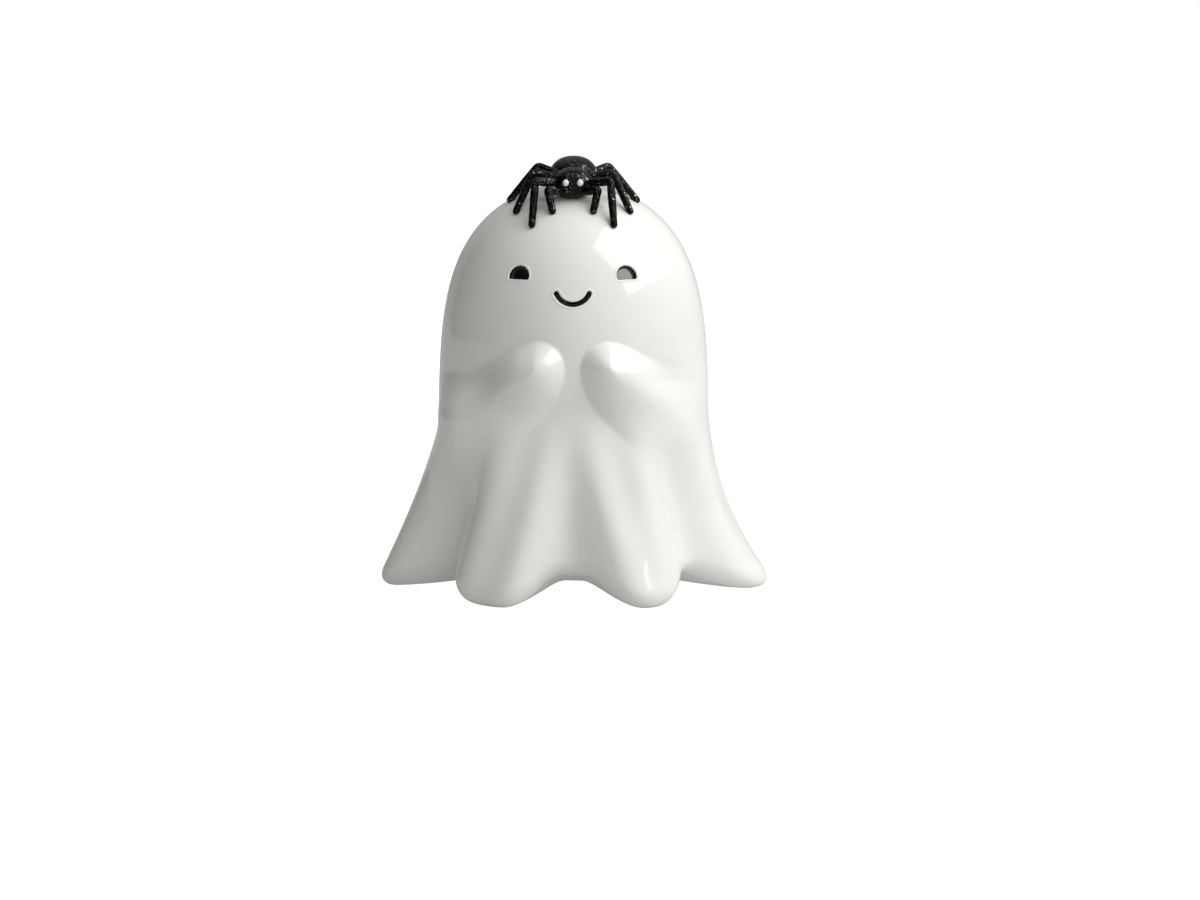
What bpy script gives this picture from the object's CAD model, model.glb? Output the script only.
import math
from collections import namedtuple

import bpy
import numpy as np
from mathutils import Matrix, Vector


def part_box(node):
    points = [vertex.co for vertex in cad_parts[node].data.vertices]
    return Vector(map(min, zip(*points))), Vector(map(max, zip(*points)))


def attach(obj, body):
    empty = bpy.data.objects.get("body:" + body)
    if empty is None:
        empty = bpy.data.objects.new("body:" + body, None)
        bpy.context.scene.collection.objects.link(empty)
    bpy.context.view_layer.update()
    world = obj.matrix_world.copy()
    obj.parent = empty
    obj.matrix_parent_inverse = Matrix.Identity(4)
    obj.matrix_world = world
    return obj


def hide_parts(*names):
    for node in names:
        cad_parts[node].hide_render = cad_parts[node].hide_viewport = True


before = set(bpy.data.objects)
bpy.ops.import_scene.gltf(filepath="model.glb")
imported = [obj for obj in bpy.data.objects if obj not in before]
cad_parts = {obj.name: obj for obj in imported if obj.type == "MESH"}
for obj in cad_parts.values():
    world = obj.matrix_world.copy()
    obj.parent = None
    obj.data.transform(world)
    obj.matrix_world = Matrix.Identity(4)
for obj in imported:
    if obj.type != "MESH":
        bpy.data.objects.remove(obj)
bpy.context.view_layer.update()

MM = 0.001

# The ghost in millimetres, by the same formula as the solid.
# Angles round the body are degrees from the front, positive to the viewer's right.
BODY_HEIGHT = 179.0
BODY_RADIUS = 60.66
DEPTH_RATIO = 0.95           # depth of the body over its width
DOME_START = 30.0
DOME_POWER = 5.0
DOME_ROOT = 0.51
CROWN_FLAT = 0.3
CROWN = BODY_HEIGHT - CROWN_FLAT
WALL = 5.0
FOOT_FLAT = 0.6
BASE_RISE = 7.0
BASE_FLAT_RADIUS = 18.0
BASE_MIDDLE_RADIUS = 12.0    # ring between the drain hole and the edge of the flat
DRAIN_RADIUS = 6.0

# Draped skirt
WAIST_HEIGHT = 74.0
SLEEVE_END = 84.0
FOLD_EASE = 0.12
LIP_RADIUS = 8.5
HEM_FADE = 45.0
INNER_FOLD_SHARE = 0.88
Fold = namedtuple("Fold", "start angle hem_angle height spread hem_spread growth")
FOLDS = [
    Fold(start=WAIST_HEIGHT, angle=-86, hem_angle=-87, height=23.0, spread=18, hem_spread=12, growth=1.0),
    Fold(start=WAIST_HEIGHT, angle=-66, hem_angle=-76, height=12.5, spread=9, hem_spread=6.5, growth=0.8),
    Fold(start=SLEEVE_END, angle=-26, hem_angle=-38.5, height=20.5, spread=6.5, hem_spread=10.5, growth=0.8),
    Fold(start=SLEEVE_END, angle=-9.5, hem_angle=-19, height=19.0, spread=6.0, hem_spread=8.0, growth=0.9),
    Fold(start=SLEEVE_END, angle=6.5, hem_angle=18, height=18.0, spread=6.0, hem_spread=8.0, growth=0.9),
    Fold(start=SLEEVE_END, angle=24, hem_angle=34, height=20.0, spread=6.5, hem_spread=9.5, growth=0.9),
    Fold(start=WAIST_HEIGHT, angle=64, hem_angle=66, height=8.0, spread=8, hem_spread=6.5, growth=0.9),
    Fold(start=WAIST_HEIGHT, angle=88, hem_angle=82, height=27.0, spread=20, hem_spread=13.5, growth=1.9),
    Fold(start=WAIST_HEIGHT, angle=86, hem_angle=84, height=3.6, spread=22, hem_spread=18, growth=0.45),
    Fold(start=WAIST_HEIGHT, angle=128, hem_angle=131, height=21, spread=14, hem_spread=13, growth=1.1),
    Fold(start=WAIST_HEIGHT, angle=-128, hem_angle=-131, height=21, spread=14, hem_spread=13, growth=1.1),
    Fold(start=WAIST_HEIGHT, angle=180, hem_angle=180, height=20, spread=14, hem_spread=15, growth=1.1),
]
Wave = namedtuple("Wave", "angle lift spread")
HEM_WAVES = [
    Wave(angle=-7, lift=11, spread=6.2),
    Wave(angle=7, lift=11, spread=6.2),
    Wave(angle=-57, lift=8, spread=9.5),
    Wave(angle=-45, lift=3, spread=4.5),
    Wave(angle=52, lift=9, spread=9),
    Wave(angle=38.5, lift=3, spread=4.5),
    Wave(angle=106, lift=6, spread=8),
    Wave(angle=-106, lift=6, spread=8),
    Wave(angle=155, lift=6, spread=8),
    Wave(angle=-155, lift=6, spread=8),
]

# Edge of one arm, from the elbow over the hand and down the hanging sleeve: x, z and the height inside it
ARM_EDGE = [
    (66, 93, 0),
    (49, 100.2, 0),
    (40, 103.2, 6.6),
    (31.5, 107.4, 8.8),
    (23.5, 111.8, 9.8),
    (15, 114.3, 10.0),
    (8, 112.3, 10.4),
    (3.9, 107, 10.4),
    (3.0, 100, 10.0),
    (5.2, 91.5, 9.0),
    (9.2, 84.6, 7.4),
    (14.4, 78.2, 5.4),
    (19.8, 72.4, 3.2),
    (25.5, 66, 0),
    (36, 50, 0),
]
ARM_EDGE_STEPS = 6           # points on the smooth edge for each of these
ARM_TOP = 116.0              # just over the hands
ARM_ROUND = 14.0
ARM_TOE = 1.5
ARM_MIX = 4.0
ARM_CREST = 22.0
ARM_FADE = 34.0
ARM_LEAN = 0.4
ARM_LEAN_BELOW = 96.0
ARM_SIDE_FADE = 1.5          # the arms fade out towards the sides of the body
HOLLOW_X = 41.0              # hollow in the crook of each arm
HOLLOW_Z = 97.5
HOLLOW_WIDTH = 9.0
HOLLOW_TALL = 6.0
HOLLOW_DEPTH = 1.9
Elbow = namedtuple("Elbow", "angle height top rise")
ELBOWS = [
    Elbow(angle=-56, height=10.0, top=98, rise=20),
    Elbow(angle=58, height=5.0, top=97, rise=30),
]
ELBOW_SPREAD = 15.0
ELBOW_FOOT = 35.0
ELBOW_FADE = 40.0

# Face
EYE_ANGLE = 26.4
EYE_HEIGHT = 143.2
EYE_WIDTH = 9.0
EYE_TALL = 5.9
EYE_CORNER = 0.6
EYE_REACH = (5.6, 4.0)       # half the patch that an eye and its rim take up
SMILE_HEIGHT = 132.5
SMILE_WIDTH = 14.2
SMILE_DROP = 4.8
SMILE_STROKE = 1.9
SMILE_REACH = (9.2, 4.6)
FACE_FRONT = -20.0           # the face lies in front of this
FACE_DEPTH = 2.4
PRESS_START = 0.35           # the glaze begins to sink this far outside an outline
PRESS_WIDTH = 0.9            # and is down over this distance
RIM_HEIGHT = 0.18            # raised rim round each outline
RIM_AWAY = 0.75
RIM_SPREAD = 0.32
LINING_STEP = 0.14           # net of the black glaze
LINING_EDGE = 0.2            # it ends this far outside an outline
LINING_RISE = 0.16           # it lies on the white glaze inside the outline
LINING_SINK = 0.06           # and dips under it at the edge
LINING_FADE = 0.14

# Spider, placed from the middle of the crown; forward is towards the viewer
Lump = namedtuple("Lump", "width length tall forward rise")
ABDOMEN = Lump(width=21.4, length=26.0, tall=15.6, forward=1.5, rise=4.4)
HEAD = Lump(width=18.0, length=17.0, tall=14.4, forward=21.5, rise=1.2)
BEAD_RADIUS = 1.5
BEAD_SPACING = 6.2
BEAD_RISE = 0.6
BEAD_PROUD = 0.7
LEG_RADIUS = 2.0
FOOT_RADIUS = 1.65
FOOT_SINK = 0.8
Leg = namedtuple("Leg", "root knee foot")
LEGS = [
    Leg(root=(5.5, 26, -2.0), knee=(11, 29, -1.1), foot=(8.8, 31)),
    Leg(root=(7, 24, 1.6), knee=(16.4, 29, 2.5), foot=(17.6, 34.2)),
    Leg(root=(7, 20.3, 3.5), knee=(17.5, 20, 5.5), foot=(24.6, 23.1)),
    Leg(root=(6.5, 16.3, 4.6), knee=(15.6, 10, 7.9), foot=(27.6, 8.4)),
]

# Unevenness of the spider, within about a quarter of a millimetre of the solid
CLAY_INSET = 0.12
CLAY_UNEVEN = 0.12
CLAY_WAVE = 2.6
CLAY_PHASE = 0.7
BEAD_INSET = 0.05
BEAD_UNEVEN = 0.03
BEAD_WAVE = 0.8
LEG_INSET = 0.03
LEG_UNEVEN = 0.05
LEG_WAVE = 1.1
LEG_PHASE = 1.3
LEG_SHARE = 0.97             # thickness of a leg over that of the solid
LEG_SWELL = 0.06             # thighs swell in the middle
LEG_WAIST = 0.05             # shins narrow below the knee
LEG_WAIST_BELOW = 2.4
LEG_WAIST_LENGTH = 1.2
KNEE_ROUND = 1.0             # distance over which a knee is rounded off
KNEE_KEEP = 2.5              # but not as near as this to the ends of a leg
BELLY_SINK = 0.12            # depth to which body and feet sit in the glaze
LEG_SINK = 0.1

# How fine the nets are: columns round the body, and rings up it from one height to the next
FACE_SPAN = 33.5             # columns are denser within this angle of the front
FACE_COLUMNS = 250
OTHER_COLUMNS = 226
BASE_RINGS = 22
LIP_RINGS = 14
SKIRT_TOP = 66.0
SKIRT_RINGS = 54
ARMS_TOP = 124.0
ARMS_RINGS = 76
FACE_TOP = 149.0
FACE_RINGS = 100
DOME_RINGS = 56
DOME_STEPS = 4000            # steps in which the curve of the dome is measured
INNER_COLUMNS = 144
INNER_RINGS = 60
INNER_BASE_RINGS = 12
INNER_LIP_RINGS = 5
INNER_FLOOR = 1.0            # the inside stays this far above the ground
DRAIN_COLUMNS = 72
LUMP_RINGS = 64
LUMP_SIDES = 96
BEAD_RINGS = 24
BEAD_SIDES = 32
LEG_RINGS = 90
LEG_SIDES = 24
TOE_RINGS = 7
TOE_START = 0.15             # first ring of the rounded toe, as a share of its quarter turn
TOE_LEAST = 0.01             # smallest square of a ring's radius
TOE_TIP = 0.02
TOUCH_STEP = 0.5             # step, in degrees and in millimetres, that finds a touching plane
TOUCH_ROUNDS = 12
SLOPE_STEP = 0.1
REST_ROUNDS = 4

# Camera that the outline in the photograph fits
CAMERA_ELEVATION = 8.5
CAMERA_AIM = (11.8, 0.0, 58.75)
CAMERA_DISTANCE = 1500.0
CAMERA_LENS = 100.0
CAMERA_SENSOR = 36.0
PICTURE_WIDTH = 1200
PICTURE_HEIGHT = 900


def bell(distance, spread):
    return np.exp(-0.5 * (distance / spread) ** 2)


def wrapped(angle):
    """The same angle between -180 and 180 degrees."""
    return (angle + 180.0) % 360.0 - 180.0


def smooth(t):
    """Eases from 0 to 1."""
    t = np.clip(t, 0, 1)
    return t * t * (3 - 2 * t)


def plain_radius(z, inset):
    """Radius of the body without folds and arms."""
    t = np.clip((z - DOME_START) / (BODY_HEIGHT - inset - DOME_START), 0, 1)
    return (BODY_RADIUS - inset) * (1 - t**DOME_POWER) ** DOME_ROOT


def fold_height(angle, z):
    """How far the folds stand out; they grow and turn from their start down to the hem."""
    total = 0
    for fold in FOLDS:
        t = np.maximum((fold.start - z) / fold.start, 0)
        grown = t * t / (t + FOLD_EASE) * (1 + FOLD_EASE)
        middle = fold.angle + (fold.hem_angle - fold.angle) * grown
        spread = fold.spread + (fold.hem_spread - fold.spread) * grown
        total = total + fold.height * grown**fold.growth * bell(wrapped(angle - middle), spread)
    return total


def smooth_line(points, steps):
    """Points on a smooth curve through the given ones."""
    p = np.array(points, float)
    p = np.concatenate([[2 * p[0] - p[1]], p, [2 * p[-1] - p[-2]]])
    t = (np.arange(steps) / steps)[:, None]
    parts = []
    for a, b, c, d in zip(p, p[1:], p[2:], p[3:]):
        slope = (c - a) / 2
        bend = a - 2.5 * b + 2 * c - d / 2
        twist = 1.5 * (b - c) + (d - a) / 2
        parts.append(b + t * slope + t**2 * bend + t**3 * twist)
    return np.concatenate(parts + [p[-2:-1]])


ARM_LINE = smooth_line(ARM_EDGE, ARM_EDGE_STEPS)


def arm_height(angle, z):
    """How far the arms under the sheet stand out: hands and sleeves, crooks and elbows."""
    angle, z = np.broadcast_arrays(np.asarray(angle, float), np.asarray(z, float))
    facing = np.cos(np.radians(angle))
    x = np.abs(plain_radius(z, 0) * np.sin(np.radians(angle)))
    here = (facing > 0) & (z > ARM_EDGE[-1][1]) & (z < ARM_TOP)
    px = x[here][:, None]
    pz = z[here][:, None]
    x0, z0, h0 = ARM_LINE[:-1].T
    x1, z1, h1 = ARM_LINE[1:].T
    dx = x1 - x0
    dz = z1 - z0
    k = np.clip(((px - x0) * dx + (pz - z0) * dz) / (dx**2 + dz**2), 0, 1)
    away = np.hypot(px - x0 - k * dx, pz - z0 - k * dz)
    side = dx * (pz - z0) - dz * (px - x0)
    nearest = away.argmin(1)[:, None]
    shortest = np.take_along_axis(away, nearest, 1)
    weight = np.exp((shortest - away) / ARM_MIX)
    height = (weight * (h0 + (h1 - h0) * k)).sum(1) / weight.sum(1)
    deep = np.where(np.take_along_axis(side, nearest, 1) > 0, shortest, 0)[:, 0]
    deep = deep * deep / (deep + ARM_TOE)
    rise = 1 - np.clip(1 - deep / ARM_ROUND, 0, 1) ** 2
    outwards = x[here] + ARM_LEAN * np.minimum(z[here] - ARM_LEAN_BELOW, 0)
    total = np.zeros(angle.shape)
    total[here] = height * rise * (1 - smooth((outwards - ARM_CREST) / ARM_FADE))
    total = total - HOLLOW_DEPTH * bell(x - HOLLOW_X, HOLLOW_WIDTH) * bell(z - HOLLOW_Z, HOLLOW_TALL)
    for elbow in ELBOWS:
        span = smooth((elbow.top - z) / elbow.rise) * smooth((z - ELBOW_FOOT) / ELBOW_FADE)
        total = total + elbow.height * bell(wrapped(angle - elbow.angle), ELBOW_SPREAD) * span
    return total * np.clip(ARM_SIDE_FADE * facing, 0, 1)


def outer_radius(angle, z):
    return plain_radius(z, 0) + fold_height(angle, z) + arm_height(angle, z)


def inner_radius(angle, z):
    return plain_radius(z, WALL) + INNER_FOLD_SHARE * (fold_height(angle, z) + arm_height(angle, z))


def hem_height(angle):
    """The hem waves up between the lobes that it stands on."""
    lift = sum(wave.lift * bell(wrapped(angle - wave.angle), wave.spread) for wave in HEM_WAVES)
    return lift - FOOT_FLAT


def body_point(angle, radius, z):
    a = np.radians(angle)
    return np.stack(np.broadcast_arrays(radius * np.sin(a), -DEPTH_RATIO * radius * np.cos(a), z), -1)


def outside_point(angle, z):
    return body_point(angle, outer_radius(angle, z), z)


def skin_rows(radius_at, inset, angle, heights, base_rings, lip_rings):
    """Rings of one skin of the casting, from the middle of the base up to the crown."""
    hem = hem_height(angle)
    edge = radius_at(angle, hem + inset) - LIP_RADIUS
    rows = []
    for radius in (DRAIN_RADIUS, BASE_MIDDLE_RADIUS):
        rows.append(body_point(angle, radius + 0 * angle, BASE_RISE + inset + 0 * angle))
    for share in np.linspace(1, 0, base_rings, endpoint=False):
        rise = BASE_RISE * share * share * (3 - 2 * share)
        z = hem * (1 - share) ** 2 + rise + inset
        rows.append(body_point(angle, edge + (BASE_FLAT_RADIUS - edge) * share, z))
    for turn in np.linspace(math.pi / 2, 0, lip_rings, endpoint=False):
        z = hem + inset + LIP_RADIUS * (1 - math.sin(turn))
        rows.append(body_point(angle, radius_at(angle, z) - LIP_RADIUS * (1 - math.cos(turn)), z))
    for height in heights:
        z = height + hem * smooth(1 - (height - LIP_RADIUS - inset) / HEM_FADE)
        rows.append(body_point(angle, radius_at(angle, z), z))
    return np.array(rows)


def dome_heights(start, top, count, inset):
    """Heights that are evenly spaced along the curve of the wall."""
    fine = np.linspace(start, top, DOME_STEPS)
    radius = plain_radius(fine, inset)
    along = np.concatenate([[0], np.cumsum(np.hypot(np.diff(fine), np.diff(radius)))])
    return np.interp(np.linspace(0, along[-1], count), along, fine)


class Touch:
    """Plane that touches the outside of the body at an angle and height."""

    def __init__(self, angle, z):
        self.angle = angle
        self.z = z
        self.origin = outside_point(angle, z)
        right = outside_point(angle + TOUCH_STEP, z) - self.origin
        above = outside_point(angle, z + TOUCH_STEP) - self.origin
        normal = np.cross(right, above)
        self.x = right / np.linalg.norm(right)
        self.n = normal / np.linalg.norm(normal)
        self.y = np.cross(self.n, self.x)

    def local(self, points):
        d = points - self.origin
        return d @ self.x, d @ self.y

    def on_surface(self, u, v):
        """Points of the body that lie at (u, v) on this plane."""
        radius = BODY_RADIUS * DEPTH_RATIO
        angle = self.angle + np.degrees(u / radius)
        z = self.z + v
        for _ in range(TOUCH_ROUNDS):
            du, dv = self.local(outside_point(angle, z))
            angle = angle + np.degrees((u - du) / radius)
            z = z + (v - dv)
        return outside_point(angle, z)


def arc_radius(half, rise):
    """Radius of an arc that rises by this much over half its chord."""
    return (half * half + rise * rise) / (2 * rise)


def eye_distance(u, v):
    """Distance to the outline of the half moon, negative inside."""
    r = arc_radius(EYE_WIDTH / 2, EYE_TALL)
    from_arc = np.hypot(u, v - (EYE_TALL / 2 - r)) - (r - EYE_CORNER)
    from_line = (-EYE_TALL / 2 + EYE_CORNER) - v
    outside = np.hypot(np.maximum(from_arc, 0), np.maximum(from_line, 0))
    return outside + np.minimum(np.maximum(from_arc, from_line), 0) - EYE_CORNER


def smile_distance(u, v):
    """Distance to the outline of the smile, negative inside."""
    half = SMILE_WIDTH / 2
    r = arc_radius(half, SMILE_DROP)
    centre = -SMILE_DROP / 2 + r
    turn = np.arctan2(np.abs(u), centre - v)
    on_arc = np.abs(np.hypot(u, v - centre) - r)
    at_end = np.hypot(np.abs(u) - half, v - SMILE_DROP / 2)
    return np.where(turn < math.asin(half / r), on_arc, at_end) - SMILE_STROKE / 2


def pressed_depth(distance):
    """How deep the glaze is pressed in, with a rounded rim."""
    rim = RIM_HEIGHT * bell(distance - RIM_AWAY, RIM_SPREAD)
    return FACE_DEPTH * smooth((PRESS_START - distance) / PRESS_WIDTH) - rim


Feature = namedtuple("Feature", "touch distance reach")
FACE = {
    "left_eye_glaze": Feature(Touch(-EYE_ANGLE, EYE_HEIGHT), eye_distance, EYE_REACH),
    "right_eye_glaze": Feature(Touch(EYE_ANGLE, EYE_HEIGHT), eye_distance, EYE_REACH),
    "smile_glaze": Feature(Touch(0.0, SMILE_HEIGHT), smile_distance, SMILE_REACH),
}


def new_object(name, points, faces):
    mesh = bpy.data.meshes.new(name)
    mesh.from_pydata([tuple(p) for p in points], [], [tuple(int(i) for i in f) for f in faces])
    mesh.update()
    mesh.polygons.foreach_set("use_smooth", [True] * len(mesh.polygons))
    obj = bpy.data.objects.new(name, mesh)
    bpy.context.scene.collection.objects.link(obj)
    return obj


def tube_faces(rows, columns, start=0, flip=False):
    """Quads between rings of points."""
    i, j = np.meshgrid(np.arange(rows - 1), np.arange(columns), indexing="ij")
    a = start + i * columns + j
    b = start + i * columns + (j + 1) % columns
    quads = np.stack([a, b, b + columns, a + columns], -1).reshape(-1, 4)
    return [list(q) for q in (quads[:, ::-1] if flip else quads)]


def cap_faces(first, columns, tip, flip=False):
    """Triangles from a ring of points to its tip."""
    fan = [[first + j, first + (j + 1) % columns, tip] for j in range(columns)]
    return [[b, a, c] for a, b, c in fan] if flip else fan


# Outer skin of the ghost; its middle is moved to where the solid stands
front_angles = np.linspace(-FACE_SPAN, FACE_SPAN, FACE_COLUMNS)
other_angles = np.linspace(FACE_SPAN, 360 - FACE_SPAN, OTHER_COLUMNS)[1:-1]
heights = np.concatenate([
    np.linspace(LIP_RADIUS, SKIRT_TOP, SKIRT_RINGS)[:-1],
    np.linspace(SKIRT_TOP, ARMS_TOP, ARMS_RINGS)[:-1],
    np.linspace(ARMS_TOP, FACE_TOP, FACE_RINGS)[:-1],
    dome_heights(FACE_TOP, CROWN, DOME_RINGS, 0),
])
angles = np.concatenate([front_angles, other_angles])
outer = skin_rows(outer_radius, 0.0, angles, heights, BASE_RINGS, LIP_RINGS)
box_low, box_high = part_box("ghost_body")
plan = outer.reshape(-1, 3)
SHIFT = np.array([
    (box_low[0] + box_high[0]) / 2 / MM - (plan[:, 0].min() + plan[:, 0].max()) / 2,
    (box_low[1] + box_high[1]) / 2 / MM - (plan[:, 1].min() + plan[:, 1].max()) / 2,
    0.0,
])


def settle(points):
    """From the formula's millimetres to the row frame's metres."""
    return (np.asarray(points) + SHIFT) * MM


# Eyes and smile are pressed in, and the feet are flat
for touch, distance, (reach_u, reach_v) in FACE.values():
    u, v = touch.local(outer)
    near = (np.abs(u) < reach_u) & (np.abs(v) < reach_v) & (outer[..., 1] < FACE_FRONT)
    depth = np.where(near, pressed_depth(distance(u, v)), 0)
    outer = outer - depth[..., None] * touch.n
outer[..., 2] = np.maximum(outer[..., 2], 0)

# Inner skin, and both skins as the ghost
inner_angles = np.linspace(-180, 180, INNER_COLUMNS, endpoint=False)
inner_heights = dome_heights(LIP_RADIUS + WALL, CROWN - WALL, INNER_RINGS, WALL)
inner = skin_rows(inner_radius, WALL, inner_angles, inner_heights, INNER_BASE_RINGS, INNER_LIP_RINGS)
inner[..., 2] = np.maximum(inner[..., 2], INNER_FLOOR)
outer_rings, outer_columns = outer.shape[:2]
inner_start = outer_rings * outer_columns
inner_end = inner_start + len(inner) * INNER_COLUMNS
tips = [[0, 0, CROWN], [0, 0, CROWN - WALL]]
points = np.concatenate([outer.reshape(-1, 3), inner.reshape(-1, 3), tips])
faces = tube_faces(outer_rings, outer_columns)
faces += tube_faces(len(inner), INNER_COLUMNS, inner_start, flip=True)
faces += cap_faces(inner_start - outer_columns, outer_columns, inner_end)
faces += cap_faces(inner_end - INNER_COLUMNS, INNER_COLUMNS, inner_end + 1, flip=True)
ghost = new_object("ghost", np.clip(settle(points), box_low, box_high), faces)

# Wall of the drain hole, from the inside to its eased edge on the underside: radius and height
DRAIN_WALL = [
    (DRAIN_RADIUS, 12.1),
    (DRAIN_RADIUS, 11.6),
    (DRAIN_RADIUS, 9.5),
    (DRAIN_RADIUS, 7.4),
    (6.05, 6.95),
]
around = np.linspace(-180, 180, DRAIN_COLUMNS, endpoint=False)
drain_rows = [body_point(around, r + 0 * around, z + 0 * around) for r, z in DRAIN_WALL]
drain_faces = tube_faces(len(DRAIN_WALL), DRAIN_COLUMNS)
drain = new_object("drain_wall", settle(np.concatenate(drain_rows)), drain_faces)
drain.parent = ghost

# Black glaze in the eyes and the smile
linings = {}
for name, (touch, distance, (reach_u, reach_v)) in FACE.items():
    across = np.arange(-reach_u, reach_u, LINING_STEP)
    upward = np.arange(-reach_v, reach_v, LINING_STEP)
    u, v = np.meshgrid(across, upward, indexing="ij")
    d = distance(u, v)
    lift = LINING_RISE * smooth((LINING_FADE - d) / LINING_FADE) - LINING_SINK
    p = touch.on_surface(u, v) - (pressed_depth(d) - lift)[..., None] * touch.n
    keep = d < LINING_EDGE
    number = np.full(u.shape, -1)
    number[keep] = np.arange(keep.sum())
    corners = [number[:-1, :-1], number[1:, :-1], number[1:, 1:], number[:-1, 1:]]
    quads = np.stack(corners, -1).reshape(-1, 4)
    linings[name] = new_object(name.replace("_glaze", "_lining"), settle(p[keep]), quads[(quads >= 0).all(1)])


# Spider on the crown
def dome_z(x, y):
    """Height of the dome over a point in plan."""
    share = np.clip(1 - (np.hypot(x, y / DEPTH_RATIO) / BODY_RADIUS) ** (1 / DOME_ROOT), 1e-6, 1)
    return np.minimum(DOME_START + (BODY_HEIGHT - DOME_START) * share ** (1 / DOME_POWER), CROWN)


def dome_normal(x, y):
    gx = (dome_z(x + SLOPE_STEP, y) - dome_z(x - SLOPE_STEP, y)) / (2 * SLOPE_STEP)
    gy = (dome_z(x, y + SLOPE_STEP) - dome_z(x, y - SLOPE_STEP)) / (2 * SLOPE_STEP)
    n = np.stack([-gx, -gy, np.ones_like(gx)], -1)
    return n / np.linalg.norm(n, axis=-1, keepdims=True)


def rest_on_dome(p, sink):
    """Points below the glaze are brought up to it, so a belly or foot sits flat on the dome."""
    for _ in range(REST_ROUNDS):
        n = dome_normal(p[..., 0], p[..., 1])
        gap = (p[..., 2] - dome_z(p[..., 0], p[..., 1])) * n[..., 2]
        p = p + np.where(gap < -sink, -sink - gap, 0)[..., None] * n
    return p


def ripple(p, size, phase):
    """Gentle unevenness between -1 and 1, of hand-shaped clay."""
    q = p / size
    a = np.sin(q[..., 0] * 1.7 + 1.3 * np.sin(q[..., 1] * 1.1 + phase) + phase)
    b = np.sin(q[..., 1] * 1.9 + 1.2 * np.sin(q[..., 2] * 1.3 + 2 * phase))
    c = np.sin(q[..., 2] * 1.5 + 1.1 * np.sin(q[..., 0] * 1.2 - phase))
    return (a + b + c) / 3


def ball(name, sizes, centre, rings, sides, shape):
    """Closed ball of rings from pole to pole, its surface moved by shape(points, outward)."""
    lat = np.linspace(-math.pi / 2, math.pi / 2, rings + 2)[1:-1][:, None]
    lon = np.linspace(0, 2 * math.pi, sides, endpoint=False)
    unit = np.stack([np.cos(lat) * np.cos(lon), np.cos(lat) * np.sin(lon), np.sin(lat) + 0 * lon], -1)
    unit = np.concatenate([unit.reshape(-1, 3), [[0, 0, -1], [0, 0, 1]]])
    half = np.array(sizes) / 2
    outward = unit / half
    outward /= np.linalg.norm(outward, axis=1, keepdims=True)
    p = shape(unit * half + centre, outward)
    faces = tube_faces(rings, sides)
    faces += cap_faces(0, sides, len(p) - 2, flip=True)
    faces += cap_faces((rings - 1) * sides, sides, len(p) - 1)
    return new_object(name, settle(p), faces)


def lump(name, size):
    """Abdomen or head: an uneven ball that sits on the dome."""
    centre = np.array([0, -size.forward, BODY_HEIGHT + size.rise])

    def shape(p, outward):
        inset = CLAY_INSET + CLAY_UNEVEN * ripple(p, CLAY_WAVE, CLAY_PHASE)
        return rest_on_dome(p - inset[..., None] * outward, BELLY_SINK)

    return ball(name, (size.width, size.length, size.tall), centre, LUMP_RINGS, LUMP_SIDES, shape)


def bead(name, side):
    """One white eye, pushed into the head."""
    x = side * BEAD_SPACING / 2
    face = HEAD.length / 2 * math.sqrt(1 - (2 * x / HEAD.width) ** 2 - (2 * BEAD_RISE / HEAD.tall) ** 2)
    y = BEAD_RADIUS * (1 - BEAD_PROUD) - HEAD.forward - face
    centre = np.array([x, y, BODY_HEIGHT + HEAD.rise + BEAD_RISE])

    def shape(p, outward):
        inset = BEAD_INSET + BEAD_UNEVEN * ripple(p, BEAD_WAVE, side)
        return p - inset[..., None] * outward

    return ball(name, [2 * BEAD_RADIUS] * 3, centre, BEAD_RINGS, BEAD_SIDES, shape)


def on_crown(place, side):
    return np.array([side * place[0], -place[1], BODY_HEIGHT + place[2]])


def leg_path(leg, side):
    """Centre line of a leg with its knee rounded off, and the radius along it."""
    root = on_crown(leg.root, side)
    knee = on_crown(leg.knee, side)
    x = np.float64(side * leg.foot[0])
    y = np.float64(-leg.foot[1])
    stand = np.array([x, y, dome_z(x, y)])
    foot = stand + dome_normal(x, y) * (FOOT_RADIUS - FOOT_SINK)
    thigh = np.linalg.norm(knee - root)
    shin = np.linalg.norm(foot - knee)
    s = np.linspace(0, thigh + shin, LEG_RINGS)
    on_thigh = root + (knee - root) * (s / thigh)[:, None]
    on_shin = knee + (foot - knee) * ((s - thigh) / shin)[:, None]
    line = np.where((s < thigh)[:, None], on_thigh, on_shin)
    weight = bell(s[:, None] - s[None, :], KNEE_ROUND)
    soft = weight @ line / weight.sum(1, keepdims=True)
    ends = np.minimum(s, s[-1] - s) / KNEE_KEEP
    path = line + (soft - line) * smooth(ends)[:, None]
    swell = LEG_SWELL * np.sin(np.clip(s / thigh, 0, 1) * math.pi)
    swell = swell - LEG_WAIST * bell(s - thigh - LEG_WAIST_BELOW, LEG_WAIST_LENGTH)
    taper = LEG_RADIUS + (FOOT_RADIUS - LEG_RADIUS) * np.clip((s - thigh) / shin, 0, 1)
    return path, taper * (LEG_SHARE + swell)


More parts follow.
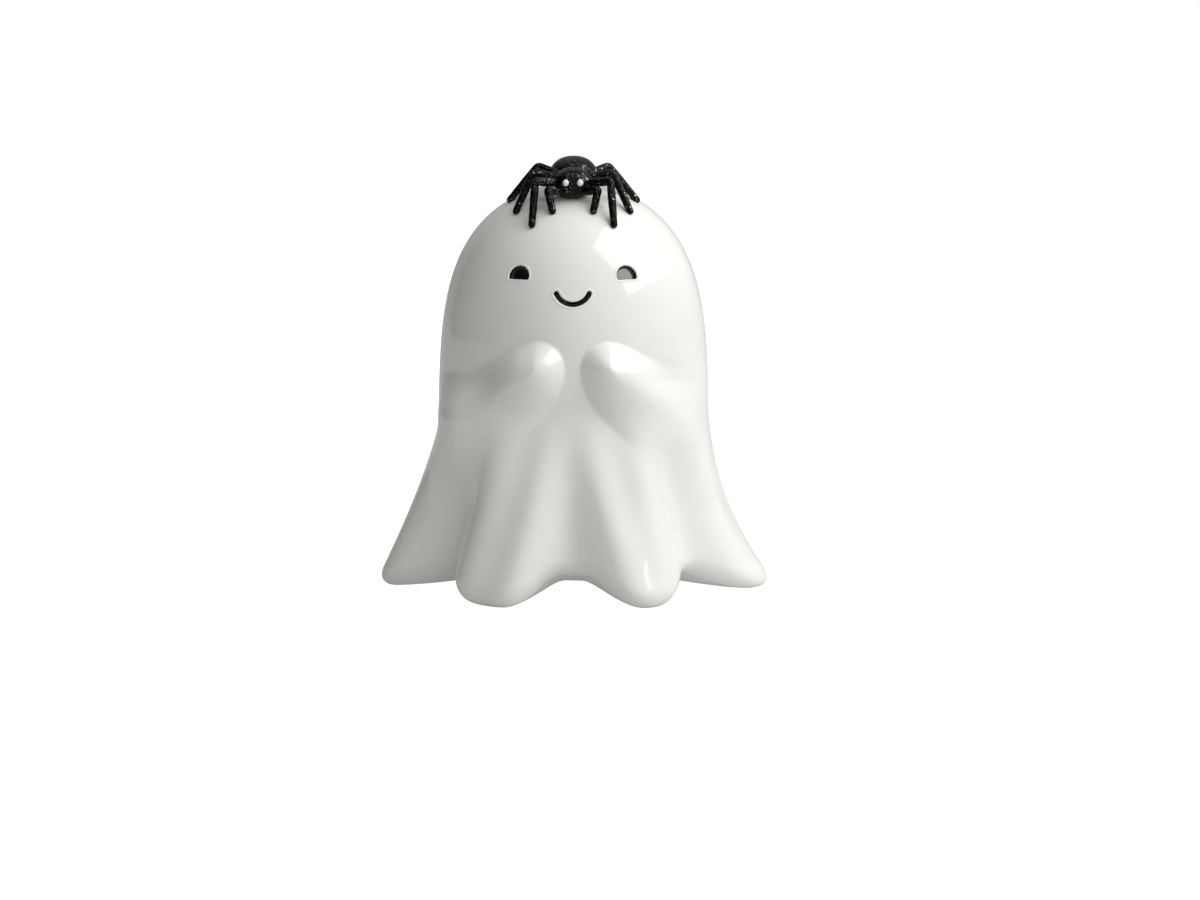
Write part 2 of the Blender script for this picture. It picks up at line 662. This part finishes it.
def limb(name, leg, side, phase):
    """One leg with a rounded toe, an uneven tube along its path."""
    path, radius = leg_path(leg, side)
    ahead = np.gradient(path, axis=0)
    ahead /= np.linalg.norm(ahead, axis=1, keepdims=True)
    reach = radius[-1] * np.sin(np.linspace(TOE_START, 1, TOE_RINGS) * math.pi / 2)
    path = np.concatenate([path, path[-1] + ahead[-1] * reach[:, None]])
    radius = np.concatenate([radius, np.sqrt(np.maximum(radius[-1] ** 2 - reach**2, TOE_LEAST))])
    ahead = np.concatenate([ahead, np.repeat(ahead[-1:], TOE_RINGS, 0)])
    turn = np.linspace(0, 2 * math.pi, LEG_SIDES, endpoint=False)[:, None]
    across = np.cross(ahead[0], [0, 1, 0])
    rows = []
    for p, r, t in zip(path, radius, ahead):
        across = across - t * (across @ t)
        across /= np.linalg.norm(across)
        out = np.cos(turn) * across + np.sin(turn) * np.cross(t, across)
        ring = p + out * r
        rows.append(ring + out * (LEG_UNEVEN * ripple(ring, LEG_WAVE, phase) - LEG_INSET)[:, None])
    p = np.concatenate([np.array(rows).reshape(-1, 3), [path[0], path[-1] + ahead[-1] * TOE_TIP]])
    faces = tube_faces(len(rows), LEG_SIDES)
    faces += cap_faces(0, LEG_SIDES, len(p) - 2, flip=True)
    faces += cap_faces((len(rows) - 1) * LEG_SIDES, LEG_SIDES, len(p) - 1)
    return new_object(name, settle(rest_on_dome(p, LEG_SINK)), faces)


abdomen = lump("spider_back", ABDOMEN)
head = lump("spider_face", HEAD)
beads = {}
legs = {}
for word, side in (("left", -1), ("right", 1)):
    beads[f"spider_eye_{word}"] = bead(f"bead_{word}", side)
    for number, leg in enumerate(LEGS, start=1):
        made = limb(f"limb_{word}_{number}", leg, side, number * LEG_PHASE + side)
        legs[f"spider_leg_{word}_{number}"] = made


# Finishes
class Finish:
    """A material's node tree, with short ways to add what each finish is made of."""

    def __init__(self, name):
        self.material = bpy.data.materials.new(name)
        self.material.use_nodes = True
        self.tree = self.material.node_tree
        self.shader = self.tree.nodes["Principled BSDF"]
        self.place = self.node("ShaderNodeTexCoord").outputs["Object"]

    def link(self, a, b):
        self.tree.links.new(a, b)

    def node(self, kind, **values):
        made = self.tree.nodes.new(kind)
        for key, value in values.items():
            setattr(made, key, value)
        return made

    def noise(self, scale, detail=2.0, rough=0.5):
        made = self.node("ShaderNodeTexNoise")
        made.inputs["Scale"].default_value = scale
        made.inputs["Detail"].default_value = detail
        made.inputs["Roughness"].default_value = rough
        self.link(self.place, made.inputs["Vector"])
        return made.outputs["Fac"]

    def between(self, value, low, high, out_low, out_high):
        made = self.node("ShaderNodeMapRange", interpolation_type="SMOOTHSTEP")
        for key, number in zip(("From Min", "From Max", "To Min", "To Max"), (low, high, out_low, out_high)):
            made.inputs[key].default_value = number
        self.link(value, made.inputs["Value"])
        return made.outputs["Result"]

    def mix(self, factor, a, b):
        made = self.node("ShaderNodeMix", data_type="RGBA")
        self.link(factor, made.inputs["Factor"])
        for socket, colour in ((made.inputs[6], a), (made.inputs[7], b)):
            if isinstance(colour, tuple):
                socket.default_value = (*colour, 1)
            else:
                self.link(colour, socket)
        return made.outputs[2]

    def math(self, operation, a, b):
        made = self.node("ShaderNodeMath", operation=operation)
        for socket, value in ((made.inputs[0], a), (made.inputs[1], b)):
            if isinstance(value, (int, float)):
                socket.default_value = value
            else:
                self.link(value, socket)
        return made.outputs[0]

    def bump(self, height, strength, depth_mm, under=None):
        made = self.node("ShaderNodeBump")
        made.inputs["Strength"].default_value = strength
        made.inputs["Distance"].default_value = depth_mm * MM
        self.link(height, made.inputs["Height"])
        if under is not None:
            self.link(under, made.inputs["Normal"])
        return made.outputs["Normal"]

    def dress(self, colour, roughness, normal):
        for key, value in (("Base Color", colour), ("Roughness", roughness), ("Normal", normal)):
            self.link(value, self.shader.inputs[key])
        return self.material


WHITE_GLAZE_DARK = (0.755, 0.755, 0.73)
WHITE_GLAZE_LIGHT = (0.78, 0.775, 0.75)
WHITE_GLAZE_SPECK = (0.60, 0.59, 0.55)
BARE_CLAY = (0.62, 0.56, 0.47)
BARE_BELOW = 0.0006          # the foot is unglazed up to this height, in metres
BARE_END = 0.0012
BARE_RAGGED = 0.0006
BARE_ROUGH = 0.6
BLACK_GLAZE_DARK = (0.001, 0.001, 0.0012)
BLACK_GLAZE_LIGHT = (0.003, 0.003, 0.0033)
EYE_SHINE = 1.0
SMILE_SHINE = 0.25
RESIN_DARK = (0.0005, 0.0005, 0.0005)
RESIN_LIGHT = (0.002, 0.002, 0.002)
RESIN_FLECK = (0.24, 0.235, 0.23)
RESIN_SHINE = 0.12
BEAD_DARK = (0.70, 0.70, 0.68)
BEAD_LIGHT = (0.80, 0.80, 0.78)


def white_glaze():
    """Glossy white with faint clouds and specks, gently wavy, and bare clay under the feet."""
    f = Finish("white_glaze")
    cloud = f.between(f.noise(38, 3), 0.3, 0.7, 0, 1)
    colour = f.mix(cloud, WHITE_GLAZE_LIGHT, WHITE_GLAZE_DARK)
    speck = f.between(f.noise(1900, 1), 0.74, 0.79, 0, 0.35)
    colour = f.mix(speck, colour, WHITE_GLAZE_SPECK)
    high = f.node("ShaderNodeSeparateXYZ")
    f.link(f.place, high.inputs[0])
    ragged = f.math("ADD", high.outputs[2], f.math("MULTIPLY", f.noise(300, 2), BARE_RAGGED))
    bare = f.between(ragged, BARE_BELOW, BARE_END, 1, 0)
    colour = f.mix(bare, colour, BARE_CLAY)
    rough = f.between(f.noise(120, 3), 0.3, 0.7, 0.05, 0.09)
    rough = f.math("ADD", rough, f.math("MULTIPLY", bare, BARE_ROUGH))
    normal = f.bump(f.noise(75, 1.5), 0.12, 0.9)
    normal = f.bump(f.noise(620, 2), 0.05, 0.12, normal)
    return f.dress(colour, rough, normal)


def black_glaze(name, shine):
    """Glossy black, slightly uneven."""
    f = Finish(name)
    colour = f.mix(f.noise(500, 2), BLACK_GLAZE_DARK, BLACK_GLAZE_LIGHT)
    rough = f.between(f.noise(700, 2), 0.3, 0.7, 0.06, 0.14)
    f.shader.inputs["Specular IOR Level"].default_value = shine
    return f.dress(colour, rough, f.bump(f.noise(900, 2), 0.15, 0.1))


def spider_black():
    """Black resin with a fine grain, and patches of small bright flecks."""
    f = Finish("spider_black")
    fleck = f.between(f.noise(1100, 2, 0.6), 0.585, 0.635, 0, 1)
    patches = f.between(f.noise(330, 2), 0.38, 0.58, 0.1, 1)
    fleck = f.math("MULTIPLY", fleck, patches)
    cloud = f.between(f.noise(420, 3), 0.3, 0.7, 0, 1)
    colour = f.mix(fleck, f.mix(cloud, RESIN_DARK, RESIN_LIGHT), RESIN_FLECK)
    f.link(fleck, f.shader.inputs["Metallic"])
    rough = f.between(f.noise(700, 2, 0.6), 0.35, 0.65, 0.12, 0.2)
    normal = f.bump(f.noise(260, 3, 0.6), 0.3, 0.5)
    normal = f.bump(f.noise(1250, 2, 0.6), 0.25, 0.25, normal)
    f.shader.inputs["Specular IOR Level"].default_value = RESIN_SHINE
    return f.dress(colour, rough, normal)


def bead_white():
    """White of the spider's eyes, less glossy than the glaze."""
    f = Finish("bead_white")
    colour = f.mix(f.noise(800, 2), BEAD_LIGHT, BEAD_DARK)
    rough = f.between(f.noise(1200, 2), 0.3, 0.7, 0.25, 0.4)
    return f.dress(colour, rough, f.bump(f.noise(1100, 2), 0.15, 0.1))


def put(obj, node, material):
    obj.data.materials.append(material)
    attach(obj, "root")
    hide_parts(node)


white = white_glaze()
satin = spider_black()
bead_paint = bead_white()
eye_black = black_glaze("eye_black", EYE_SHINE)
smile_black = black_glaze("smile_black", SMILE_SHINE)
drain.data.materials.append(white)
put(ghost, "ghost_body", white)
for name, obj in linings.items():
    put(obj, name, smile_black if name == "smile_glaze" else eye_black)
put(abdomen, "spider_abdomen", satin)
put(head, "spider_head", satin)
for name, obj in legs.items():
    put(obj, name, satin)
for name, obj in beads.items():
    put(obj, name, bead_paint)

# Studio: a white floor, a softbox on the right, and surroundings that are darker on the left
FLOOR_HALF = 3.0
FLOOR_GAP = 0.0002           # the floor lies just under the feet
FLOOR_COLOUR = (0.45, 0.45, 0.45, 1)
FLOOR_ROUGH = 0.9
FLOOR_GLOW = 0.2             # light that the floor gives to the figure
FLOOR_SEEN = 0.76            # added where the camera sees it, so that it looks white
FRONT_LEVEL = 0.06
BACK_LEVEL = 0.36
TOP_GAIN = 0.30
LEFT_SHARE = 0.03            # share of the light that is left in the dark part
GLOW_AZIMUTH = 34.0
GLOW_ELEVATION = 40.0
GLOW_LEVEL = 0.72
SURROUNDINGS = (1.0, 0.99, 0.975, 1)
WHITE = (1, 1, 1, 1)
LAMP_AIM = (0, 0, 0.1)
scene = bpy.context.scene


def make_floor():
    h = FLOOR_HALF
    mesh = bpy.data.meshes.new("floor")
    mesh.from_pydata([(-h, -h, 0), (h, -h, 0), (h, h, 0), (-h, h, 0)], [], [(0, 1, 2, 3)])
    obj = bpy.data.objects.new("floor", mesh)
    obj.location.z = -FLOOR_GAP
    scene.collection.objects.link(obj)
    paper = bpy.data.materials.new("paper")
    paper.use_nodes = True
    nodes = paper.node_tree.nodes
    links = paper.node_tree.links
    shader = nodes["Principled BSDF"]
    shader.inputs["Base Color"].default_value = FLOOR_COLOUR
    shader.inputs["Roughness"].default_value = FLOOR_ROUGH
    shader.inputs["Specular IOR Level"].default_value = 0.0
    ray = nodes.new("ShaderNodeLightPath")
    gain = nodes.new("ShaderNodeMath")
    gain.operation = "MULTIPLY_ADD"
    gain.inputs[1].default_value = FLOOR_SEEN
    gain.inputs[2].default_value = FLOOR_GLOW
    glow = nodes.new("ShaderNodeEmission")
    both = nodes.new("ShaderNodeAddShader")
    links.new(ray.outputs["Is Camera Ray"], gain.inputs[0])
    links.new(gain.outputs[0], glow.inputs["Strength"])
    links.new(shader.outputs[0], both.inputs[0])
    links.new(glow.outputs[0], both.inputs[1])
    links.new(both.outputs[0], nodes["Material Output"].inputs["Surface"])
    mesh.materials.append(paper)
    return obj


floor = make_floor()

world = bpy.data.worlds.new("studio")
scene.world = world
world.use_nodes = True
nodes = world.node_tree.nodes
links = world.node_tree.links
nodes.clear()


def ramp(source, low, high, out_low, out_high):
    made = nodes.new("ShaderNodeMapRange")
    made.interpolation_type = "SMOOTHSTEP"
    for key, number in zip(("From Min", "From Max", "To Min", "To Max"), (low, high, out_low, out_high)):
        made.inputs[key].default_value = number
    links.new(source, made.inputs["Value"])
    return made.outputs["Result"]


def combine(operation, a, b):
    made = nodes.new("ShaderNodeMath")
    made.operation = operation
    for socket, value in ((made.inputs[0], a), (made.inputs[1], b)):
        if isinstance(value, (int, float)):
            socket.default_value = value
        else:
            links.new(value, socket)
    return made.outputs[0]


def towards(azimuth, elevation):
    """Unit vector; azimuth counts from the front to the viewer's right."""
    a = math.radians(azimuth)
    e = math.radians(elevation)
    return Vector((math.cos(e) * math.sin(a), -math.cos(e) * math.cos(a), math.sin(e)))


# Light from around depends on where it comes from; the camera sees plain white
sky = nodes.new("ShaderNodeTexCoord").outputs["Generated"]
axes = nodes.new("ShaderNodeSeparateXYZ")
links.new(sky, axes.inputs[0])
rightward, backward, upward = axes.outputs
glow = nodes.new("ShaderNodeVectorMath")
glow.operation = "DOT_PRODUCT"
links.new(sky, glow.inputs[0])
glow.inputs[1].default_value = towards(GLOW_AZIMUTH, GLOW_ELEVATION)
level = ramp(backward, 0.1, 0.6, FRONT_LEVEL, BACK_LEVEL)
level = combine("ADD", level, ramp(upward, 0.45, 0.85, 0, TOP_GAIN))
level = combine("ADD", level, ramp(glow.outputs["Value"], 0.3, 0.9, 0, GLOW_LEVEL))
dark = combine("MULTIPLY", ramp(rightward, -0.75, -0.1, 1, 0), ramp(upward, 0.35, 0.8, 1, 0))
dark = combine("MULTIPLY", dark, ramp(backward, 0.6, 0.85, 1, 0))
level = combine("MULTIPLY", level, combine("SUBTRACT", 1.0, combine("MULTIPLY", dark, 1 - LEFT_SHARE)))
lighting = nodes.new("ShaderNodeBackground")
lighting.inputs["Color"].default_value = SURROUNDINGS
links.new(level, lighting.inputs["Strength"])
backdrop = nodes.new("ShaderNodeBackground")
backdrop.inputs["Color"].default_value = WHITE
ray = nodes.new("ShaderNodeLightPath")
choose = nodes.new("ShaderNodeMixShader")
links.new(ray.outputs["Is Camera Ray"], choose.inputs[0])
links.new(lighting.outputs[0], choose.inputs[1])
links.new(backdrop.outputs[0], choose.inputs[2])
result = nodes.new("ShaderNodeOutputWorld")
links.new(choose.outputs[0], result.inputs["Surface"])


def softbox(name, azimuth, elevation, distance, width, tall, power):
    lamp = bpy.data.lights.new(name, "AREA")
    lamp.shape = "RECTANGLE"
    lamp.size = width
    lamp.size_y = tall
    lamp.energy = power
    obj = bpy.data.objects.new(name, lamp)
    aim = Vector(LAMP_AIM)
    obj.location = aim + towards(azimuth, elevation) * distance
    obj.rotation_euler = (aim - obj.location).to_track_quat("-Z", "Y").to_euler()
    scene.collection.objects.link(obj)


softbox("key", azimuth=78, elevation=45, distance=1.1, width=1.2, tall=0.9, power=11.2)

# Camera of the photograph
camera = bpy.data.objects.new("camera", bpy.data.cameras.new("camera"))
scene.collection.objects.link(camera)
camera.data.lens = CAMERA_LENS
camera.data.sensor_width = CAMERA_SENSOR
tilt = math.radians(CAMERA_ELEVATION)
sight = Vector((0, math.cos(tilt), -math.sin(tilt)))
camera.location = Vector(settle(CAMERA_AIM)) - sight * (CAMERA_DISTANCE * MM)
camera.rotation_euler = (math.pi / 2 - tilt, 0, 0)
scene.camera = camera
scene.render.resolution_x = PICTURE_WIDTH
scene.render.resolution_y = PICTURE_HEIGHT
scene.view_settings.view_transform = "Standard"
